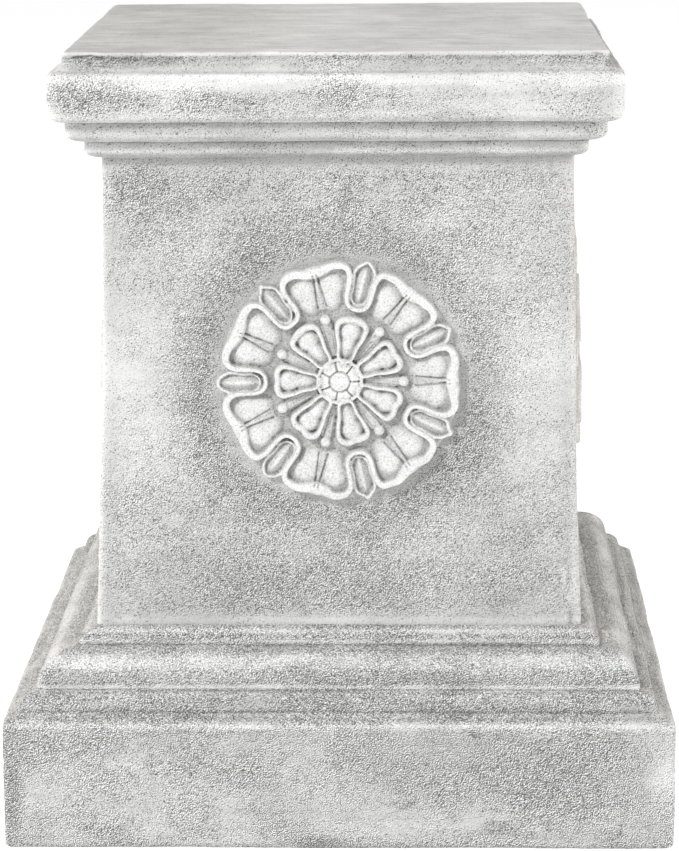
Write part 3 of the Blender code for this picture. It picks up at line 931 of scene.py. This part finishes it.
# %% [markdown]
# ### Plate, pads, ribs, leaves and beads
#
# The rims stand on a thin round plate with a sloping skirt, so that it grows out of the dado.
# Everything else is pressed on it inside one edit mode: each primitive is added there at its
# size, place and turn.

# %% Primitives laid on the plate
def pad(place, crest, sizes, turn):
    """A pressed ball of clay: half sizes along, across and up, with its crest at a height."""
    bpy.ops.mesh.primitive_uv_sphere_add(
        segments=24, ring_count=14, radius=1, location=(*place, crest - sizes[2]),
        rotation=(0, 0, turn), scale=sizes)


def spike(near, far, crest, widths, turn, spread=0.0, rise=0.0):
    """A cone laid down along a radius, from one width to another, rising outwards by an angle."""
    middle = turned(((near + far) / 2, 0.0), turn + spread)
    steep = 1.3
    bpy.ops.mesh.primitive_cone_add(
        vertices=16, radius1=widths[0], radius2=widths[1], depth=far - near,
        location=(*middle, crest - max(widths) * steep),
        rotation=(0, math.pi / 2 - rise, turn + spread), scale=(steep, 1, 1))


def lay_petal(k):
    """Two pads and the rib between them, whose point lies at the notch."""
    turn = k * SPACING + wobble(k + 70, 0.03)
    for sign in (-1, 1):
        grow = 1 + wobble(k * 2 + sign + 80, 0.10)
        floor = turned(polar(0.0445, sign * 0.150), turn)
        pad(floor, 0.0043, (0.0092, 0.0078, 0.0030), turn)
        outer = turned(polar(0.0434, sign * 0.150), turn)
        pad(outer, 0.0057, (0.0060, 0.0062 * grow, 0.0034), turn + sign * 0.15)
        inner = turned(polar(0.0392, sign * 0.142), turn)
        pad(inner, 0.0053, (0.0082, 0.0053 * grow, 0.0036), turn + sign * 0.20)
    spike(0.0330, 0.0495, 0.0049, (0.00185, 0.00050), turn, rise=0.14)
    pad(polar(0.0502, turn), RIM_CREST, (0.0028, 0.0060, 0.0030), turn)


def lay_leaf(k):
    """The blade of a leaf, with a broad ridge along its middle."""
    turn = HALF_SPACING + k * SPACING + wobble(k + 20, 0.03)
    pad(polar(0.0440, turn), 0.0046, (0.0100, 0.0036, 0.0030), turn)
    pad(polar(0.0438, turn), 0.0054, (0.0084, 0.0015, 0.0024), turn)


def lay_inner_petal(k):
    """The swelling middle of an inner petal."""
    turn = HALF_SPACING + k * SPACING + wobble(k + 40, 0.05)
    pad(polar(0.0228, turn), 0.0061, (0.0048, 0.0048, 0.0034), turn)
    pad(polar(0.0180, turn), 0.0055, (0.0080, 0.0035, 0.0032), turn)


def lay_stamen(k):
    """Three fine ridges that spread from the hub to a bead."""
    turn = k * SPACING + wobble(k + 10, 0.03)
    spike(0.0110, 0.0266, 0.0043, (0.00085, 0.00185), turn)
    for sign in (-1, 1):
        spike(0.0115, 0.0262, 0.0042, (0.00040, 0.00075), turn, sign * 0.060)
    pad(polar(0.0284, turn), 0.0067, (0.0023, 0.0023, 0.0026), turn)


def lay_hub():
    """A swelling ring round a button, in a low collar; its grooves are pressed in later."""
    bpy.ops.mesh.primitive_torus_add(
        major_radius=0.0098, minor_radius=0.0007, major_segments=64, location=(0, 0, 0.0054))
    bpy.ops.mesh.primitive_cylinder_add(
        vertices=64, radius=0.0101, depth=0.0060, location=(0, 0, 0.0018))
    bpy.ops.mesh.primitive_cylinder_add(
        vertices=64, radius=HUB_RADIUS, depth=0.0060, location=(0, 0, 0.0032))
    pad((0.0, 0.0), 0.0072, (HUB_RADIUS, HUB_RADIUS, 0.0014), 0.0)
    pad((0.0, 0.0), 0.0080, (BUTTON_RADIUS, BUTTON_RADIUS, 0.0026), 0.0)


# %% [markdown]
# ### Pressed lines
#
# Some lines are sharper than a blended skin can hold: the grooves between the hub's plates and
# the creases beside the ribs. A modeller presses them with a wire once the clay has set, and
# so the points near each line are lowered here, most along its middle.

# %% Press lines into the skin
def press(points, start, end, half_width, depth):
    """Lowers the points beside the line from start to end."""
    near = along_line(points[:, :2], start, end, half_width)
    points[:, 2] -= depth * near * (points[:, 2] > 0)


def press_lines(points):
    """All the pressed lines of the rosette."""
    ring = np.abs(np.hypot(points[:, 0], points[:, 1]) - BUTTON_RADIUS - 0.0004)
    points[:, 2] -= 0.0011 * ramp(ring, 0.0009, 0.0001)
    for k in range(PETALS):
        turn = k * SPACING
        groove = turn + wobble(k + 60, 0.06)
        press(points, polar(0.0050, groove), polar(0.0086, groove), 0.00075, 0.0016)
        for sign in (-1, 1):
            inner = turned((0.0340, sign * 0.0021), turn)
            notch = turned((0.0490, sign * 0.0008), turn)
            press(points, inner, notch, 0.0008, 0.0009)
            for spread in (0.0009, 0.0016):
                near = turned((0.0125, sign * spread), turn)
                far = turned((0.0258, sign * spread * 2.0), turn)
                press(points, near, far, 0.0006, 0.0005)


# %% Lay the whole rosette and blend it
HUB_RADIUS = 0.0082
BUTTON_RADIUS = 0.0041
PLATE_RADIUS = 0.0512
PLATE_ROOT = 0.003
SKIRT_RADII = (0.0560, 0.0518)
SKIRT_FOOT = -0.0010
SKIRT_HEAD = 0.0012
FLAT_CREST = RIM_CREST - 0.0007
FLATTENED_BY = 0.7
FLATTENED_FROM = 0.031
KEPT_SHARE = 0.42
CLOSER_MERGED = 1e-6
ROSETTE_RELIEF = {"close": (6, 0.00026), "wide": (60, 0.0018), "wide_share": 0.40}
ROSETTE_TONES = (
    (0.0000, 0.00), (0.0024, -0.05), (0.0038, -0.02), (0.0046, 0.08),
    (0.0054, 0.15), (0.0062, 0.10), (0.0067, 0.17),
)


def blended_rosette():
    """Plate, skirt, coils and clay, joined into one smooth skin that lies flat."""
    bpy.ops.object.select_all(action="DESELECT")
    bpy.ops.mesh.primitive_cylinder_add(
        vertices=96, radius=PLATE_RADIUS, depth=PLATE_TOP + PLATE_ROOT)
    piece = bpy.context.object
    piece.name = "rosette_model"
    edit(piece)
    bpy.ops.transform.translate(value=(0, 0, (PLATE_TOP - PLATE_ROOT) / 2))
    bpy.ops.mesh.primitive_cone_add(
        vertices=128, radius1=SKIRT_RADII[0], radius2=SKIRT_RADII[1],
        depth=SKIRT_HEAD - SKIRT_FOOT, location=(0, 0, (SKIRT_FOOT + SKIRT_HEAD) / 2))
    for k in range(PETALS):
        lay_petal(k)
        lay_leaf(k)
        lay_inner_petal(k)
        lay_stamen(k)
    lay_hub()
    bpy.ops.object.mode_set(mode="OBJECT")
    choose(piece, rim, *inner_rims, *leaf_rims)
    bpy.ops.object.join()
    finish_modifier(piece, "REMESH", mode="VOXEL", voxel_size=VOXEL)
    finish_modifier(piece, "SMOOTH", factor=0.5, iterations=2)
    points = points_of(piece)
    over = np.maximum(points[:, 2] - FLAT_CREST, 0)
    outside = np.hypot(points[:, 0], points[:, 1]) > FLATTENED_FROM
    points[:, 2] -= FLATTENED_BY * over * outside
    press_lines(points)
    put_points(piece, points)
    return piece


model = blended_rosette()
mark_relief(model, **ROSETTE_RELIEF)
flat = points_of(model)
tones = np.interp(flat[:, 2], *zip(*ROSETTE_TONES))
mark(model, "wash_and_painted_light", tones + 0.05 * drifts(flat, 0.012, 5))
finish_modifier(model, "DECIMATE", ratio=KEPT_SHARE)
model.data.validate()
highest = points_of(model)[:, 2].max() - NEARLY
edit(model)
bpy.ops.mesh.select_all(action="SELECT")
bpy.ops.mesh.dissolve_degenerate(threshold=CLOSER_MERGED)
bpy.ops.mesh.fill_holes(sides=0)
bpy.ops.mesh.quads_convert_to_tris()
pick(model, "FACE", lambda face: any(corner.co.z > highest for corner in face.verts))
bpy.ops.mesh.select_mode(type="VERT")
bpy.ops.mesh.select_linked()
bpy.ops.mesh.select_all(action="INVERT")
bpy.ops.mesh.delete(type="VERT")
leave_edit()
print("the rosette's mesh:", len(model.data.vertices), "points")

# %% [markdown]
# ### One rosette on each side
#
# The same mould served all four sides, so each side gets a copy of the mesh. A copy is set
# upright, follows the flare of the dado behind it, and is turned to its side. The moves are
# made in the points themselves, and the object stays at the origin.

# %% Set the rosettes on the dado
SUNK = 0.0004


def set_upright(points, side):
    """Points of the flat model on one side of the plinth, 0 for the front."""
    level = ROSETTE_HEIGHT + points[:, 1]
    face = np.array([dado_half(z) for z in level])
    out = face + points[:, 2] - SUNK
    placed = np.stack([points[:, 0] + ROSETTE_ASIDE, -out, level], 1)
    turn = side * math.pi / 2
    cosine, sine = round(math.cos(turn)), round(math.sin(turn))
    x = placed[:, 0] * cosine - placed[:, 1] * sine
    y = placed[:, 0] * sine + placed[:, 1] * cosine
    return np.stack([x, y, level], 1)


SIDES = ("front", "right", "back", "left")
rosettes = []
flat = points_of(model)
for side, word in enumerate(SIDES):
    mesh = model.data.copy()
    mesh.name = f"rosette_{word}"
    rosette = bpy.data.objects.new(mesh.name, mesh)
    bpy.context.scene.collection.objects.link(rosette)
    put_points(rosette, set_upright(flat, side))
    rosettes.append(rosette)
bpy.data.objects.remove(model)
print([rosette.name for rosette in rosettes])

# %% [markdown]
# ## The stone's finish
#
# One recipe serves the whole plinth, with its amounts set for each piece. Everything is added to
# one number, the tone: the wash as marked, with its painted light and shade, slow drifts, pale
# edges and dark creases that are partly painted shade, then the grit. Each grain is given painted
# light and shade, its upper left side lighter and its lower right side darker, as if lit from the
# upper left. The recipe reads the same noise twice, a fraction of a millimetre apart, and the
# difference is that side. Darker grains and pits are added, and a colour ramp turns the tone into
# stone, from the wash in the pits to the brushed white. The grit drives the bump too.

# %% Node helpers
class Recipe:
    """A material under construction: its nodes are added and wired one by one."""

    def __init__(self, name):
        self.material = bpy.data.materials.new(name)
        self.material.use_nodes = True
        self.nodes = self.material.node_tree.nodes
        self.links = self.material.node_tree.links
        self.shader = self.nodes["Principled BSDF"]
        self.place = self.nodes.new("ShaderNodeTexCoord").outputs["Object"]

    def put(self, socket, value):
        """Links a socket to an input, or sets the input to a plain value."""
        if isinstance(value, bpy.types.NodeSocket):
            self.links.new(value, socket)
        else:
            socket.default_value = value

    def node(self, kind, **inputs):
        """A new node, with its inputs put in by name."""
        node = self.nodes.new("ShaderNode" + kind)
        for name, value in inputs.items():
            self.put(node.inputs[name.replace("_", " ")], value)
        return node

    def noise(self, scale, detail, roughness=0.5, shift=0.0, aside=(0, 0, 0)):
        """Noise with a grain of 1 / scale metres, read a little aside of each point."""
        moved = Vector((shift, shift * 0.7, shift * 1.3)) + Vector(aside)
        place = self.node("Mapping", Vector=self.place, Location=moved).outputs["Vector"]
        node = self.node(
            "TexNoise", Vector=place, Scale=scale, Detail=detail, Roughness=roughness)
        return node.outputs["Fac"]

    def grains(self, scale):
        """A number from 0 to 1 for each of many small grains of 1 / scale metres."""
        cells = self.node("TexVoronoi", Vector=self.place, Scale=scale)
        return self.node("SeparateColor", Color=cells.outputs["Color"]).outputs["Red"]

    def attribute(self, name):
        """A number kept on the mesh's points."""
        node = self.node("Attribute")
        node.attribute_name = name
        return node.outputs["Fac"]

    def math(self, operation, *values):
        """One step of arithmetic on sockets or plain numbers."""
        node = self.node("Math")
        node.operation = operation
        for socket, value in zip(node.inputs, values):
            self.put(socket, value)
        return node.outputs[0]

    def between(self, value, low, high, new_low=0.0, new_high=1.0):
        """Stretches a range of values to another and clips what lies outside."""
        node = self.node("MapRange", Value=value, From_Min=low, From_Max=high, To_Min=new_low)
        node.inputs["To Max"].default_value = new_high
        node.interpolation_type = "SMOOTHSTEP"
        return node.outputs["Result"]

    def tinted(self, colour, share, tint):
        """The colour multiplied by a tint, to the share that a socket gives."""
        node = self.node("Mix")
        node.data_type = "RGBA"
        node.blend_type = "MULTIPLY"
        sockets = {socket.identifier: socket for socket in (*node.inputs, *node.outputs)}
        self.links.new(share, sockets["Factor_Float"])
        self.links.new(colour, sockets["A_Color"])
        sockets["B_Color"].default_value = (*tint, 1)
        return sockets["Result_Color"]

    def ramp(self, value, stops):
        """A colour ramp through (place, colour) stops."""
        node = self.node("ValToRGB", Fac=value)
        ramp_stops = node.color_ramp.elements
        for index, (place, colour) in enumerate(stops):
            stop = ramp_stops[index] if index < 2 else ramp_stops.new(place)
            stop.position = place
            stop.color = (*colour, 1)
        return node.outputs["Color"]


# %% The cast stone recipe
WASH = (0.09, 0.09, 0.087)
GREY = (0.36, 0.36, 0.355)
PALE = (0.60, 0.60, 0.597)
BRUSHED = (0.92, 0.925, 0.925)
BUFF = (1.0, 0.975, 0.94)
GRIT = (1900, 2, 0.7)
# Which way each grain's painted lit side faces: up and to the left.
LIT_SIDE = (-0.00020, 0.0, 0.00027)
BUMP_DEPTH = 0.0004
SPECKLE_BY = 0.22
EDGE_BY = 0.24


def stone(name, tone, drift_by, painted_grain_light_by, pit_by, crease_by, shift):
    """Cast stone: a middle tone, and the amounts of each kind of variation."""
    recipe = Recipe(name)
    rough = recipe.attribute("rough")
    relief = recipe.attribute("relief")
    grit = recipe.noise(*GRIT, shift=shift)
    beside = recipe.noise(*GRIT, shift=shift, aside=LIT_SIDE)
    # Painted light and shade on each grain: its upper left side lighter, its lower right side
    # darker.
    painted_grain_light = recipe.between(recipe.math("SUBTRACT", grit, beside), -0.15, 0.17, -1.1, 0.9)
    speckle = recipe.between(recipe.grains(1700), 0.45, 1.0, 0.35, -1.6)
    holes = recipe.noise(1500, 1, 0.5, shift=shift + 3)
    depth = recipe.math("SUBTRACT", recipe.math("MULTIPLY_ADD", rough, 0.12, 0.345), holes)
    layers = (
        (recipe.noise(60, 5, 0.7, shift=shift), drift_by),
        (recipe.math("MAXIMUM", relief, 0.0), EDGE_BY),
        # Creases darkened: partly the grey wash, partly painted shade.
        (recipe.math("MINIMUM", relief, 0.0), crease_by),
        # The grains' painted light and shade, where the surface is pitted.
        (recipe.math("MULTIPLY", painted_grain_light, rough), painted_grain_light_by),
        (recipe.math("MULTIPLY", speckle, rough), SPECKLE_BY),
        (recipe.between(depth, 0.0, 0.05), -pit_by),
    )
    total = recipe.math("ADD", recipe.attribute("wash_and_painted_light"), tone - drift_by / 2)
    for value, amount in layers:
        total = recipe.math("MULTIPLY_ADD", value, amount, total)
    stops = ((0.0, WASH), (0.34, GREY), (0.62, PALE), (1.0, BRUSHED))
    painted = recipe.tinted(recipe.ramp(total, stops), recipe.attribute("bare"), BUFF)
    recipe.links.new(painted, recipe.shader.inputs["Base Color"])
    recipe.shader.inputs["Roughness"].default_value = 0.9
    recipe.shader.inputs["Specular IOR Level"].default_value = 0.25
    height = recipe.math("MULTIPLY", grit, rough)
    bump = recipe.node("Bump", Strength=1.0, Distance=BUMP_DEPTH, Height=height)
    recipe.links.new(bump.outputs["Normal"], recipe.shader.inputs["Normal"])
    return recipe.material


stone_base = stone("cast_stone_base", 0.54, 0.08, 0.74, 0.44, 0.36, 1.0)
stone_dado = stone("cast_stone_dado", 0.53, 0.08, 0.50, 0.40, 0.26, 2.0)
stone_cap = stone("cast_stone_cap", 0.525, 0.08, 0.50, 0.44, 0.36, 3.0)
stone_rosette = stone("cast_stone_rosette", 0.53, 0.06, 0.12, 0.22, 0.32, 4.0)

# %% Dress the pieces
def dress(piece, material):
    """Gives a piece its finish, hangs it on the plinth's body, and hides the model's plinth."""
    piece.data.materials.clear()
    piece.data.materials.append(material)
    choose(piece)
    bpy.ops.object.shade_smooth()
    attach(piece, "root")
    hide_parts("plinth")


ROSETTE_ROUGH = 0.4
# Painted light: the rosettes on the sides are made lighter, as the sides behind them are.
SIDE_ROSETTE_PAINTED_LIGHT = 0.12
for rosette in rosettes:
    count = len(rosette.data.vertices)
    at_side = rosette is not rosettes[0]
    mark(rosette, "rough", np.full(count, ROSETTE_ROUGH))
    mark(rosette, "bare", np.full(count, float(at_side)))
    if at_side:
        mark(rosette, "wash_and_painted_light", read_mark(rosette, "wash_and_painted_light") + SIDE_ROSETTE_PAINTED_LIGHT)
    dress(rosette, stone_rosette)
for piece, material in ((base, stone_base), (dado, stone_dado), (cap, stone_cap)):
    dress(piece, material)
print("triangles in all:", sum(triangles(piece) for piece in (base, dado, cap, *rosettes)))

# %% [markdown]
# ## Studio
#
# The plinth stands on a plain pale floor in plain soft light: an even white sky, a large lamp to
# the left of the camera that gives the grit its small shadows, and a weaker one to the right.

# %% Floor, sky and lamps
bpy.ops.object.select_all(action="DESELECT")
bpy.ops.mesh.primitive_plane_add(size=40, location=(0, 0, 0))
floor = bpy.context.object
floor.name = "studio_floor"
floor_paint = bpy.data.materials.new("studio_floor")
floor_paint.use_nodes = True
floor_shader = floor_paint.node_tree.nodes["Principled BSDF"]
floor_shader.inputs["Base Color"].default_value = (0.9, 0.9, 0.9, 1)
floor_shader.inputs["Roughness"].default_value = 0.9
floor_shader.inputs["Specular IOR Level"].default_value = 0.0
floor_shader.inputs["Emission Color"].default_value = (1, 1, 1, 1)
floor_shader.inputs["Emission Strength"].default_value = 0.56
floor.data.materials.append(floor_paint)
floor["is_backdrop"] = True

scene = bpy.context.scene
scene.view_settings.view_transform = "Standard"
scene.world = bpy.data.worlds.new("studio_sky")
scene.world.use_nodes = True
sky = scene.world.node_tree.nodes["Background"]
sky.inputs["Color"].default_value = (1, 1, 1, 1)
sky.inputs["Strength"].default_value = 0.44


MIDDLE = Vector((0, 0, 0.18))


def lamp(name, place, size, power):
    """A square soft lamp aimed at the middle of the plinth."""
    bpy.ops.object.light_add(type="AREA", location=place)
    light = bpy.context.object
    light.name = name
    light.data.size = size
    light.data.energy = power
    light.rotation_euler = (MIDDLE - Vector(place)).to_track_quat("-Z", "Y").to_euler()


lamp("key_lamp", (-1.3, -1.7, 1.7), 0.45, 46)
lamp("fill_lamp", (2.3, -0.5, 1.0), 1.2, 28)

# %% [markdown]
# ## Camera
#
# The camera stands where the photographer stood: a little above the plinth, almost straight in
# front of it, with a long lens.

# %% Place the camera
EYE = Vector((0.03593, -1.42781, 0.48872))
AIM = Vector((-0.0022, 0.0, 0.1600))
ROLL = math.radians(-0.395)
LENS_MM = 128.09
SENSOR_MM = 36

bpy.ops.object.camera_add(location=EYE)
camera = bpy.context.object
camera.rotation_mode = "QUATERNION"
camera.rotation_quaternion = (AIM - EYE).to_track_quat("-Z", "Y") @ Quaternion((0, 0, 1), ROLL)
camera.data.lens = LENS_MM
camera.data.sensor_width = SENSOR_MM
camera.data.clip_start = 0.01
scene.camera = camera

# %% Write the sizes and finish
low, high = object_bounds()
print("visual box in mm:", [round(side * 1000, 2) for side in high - low])
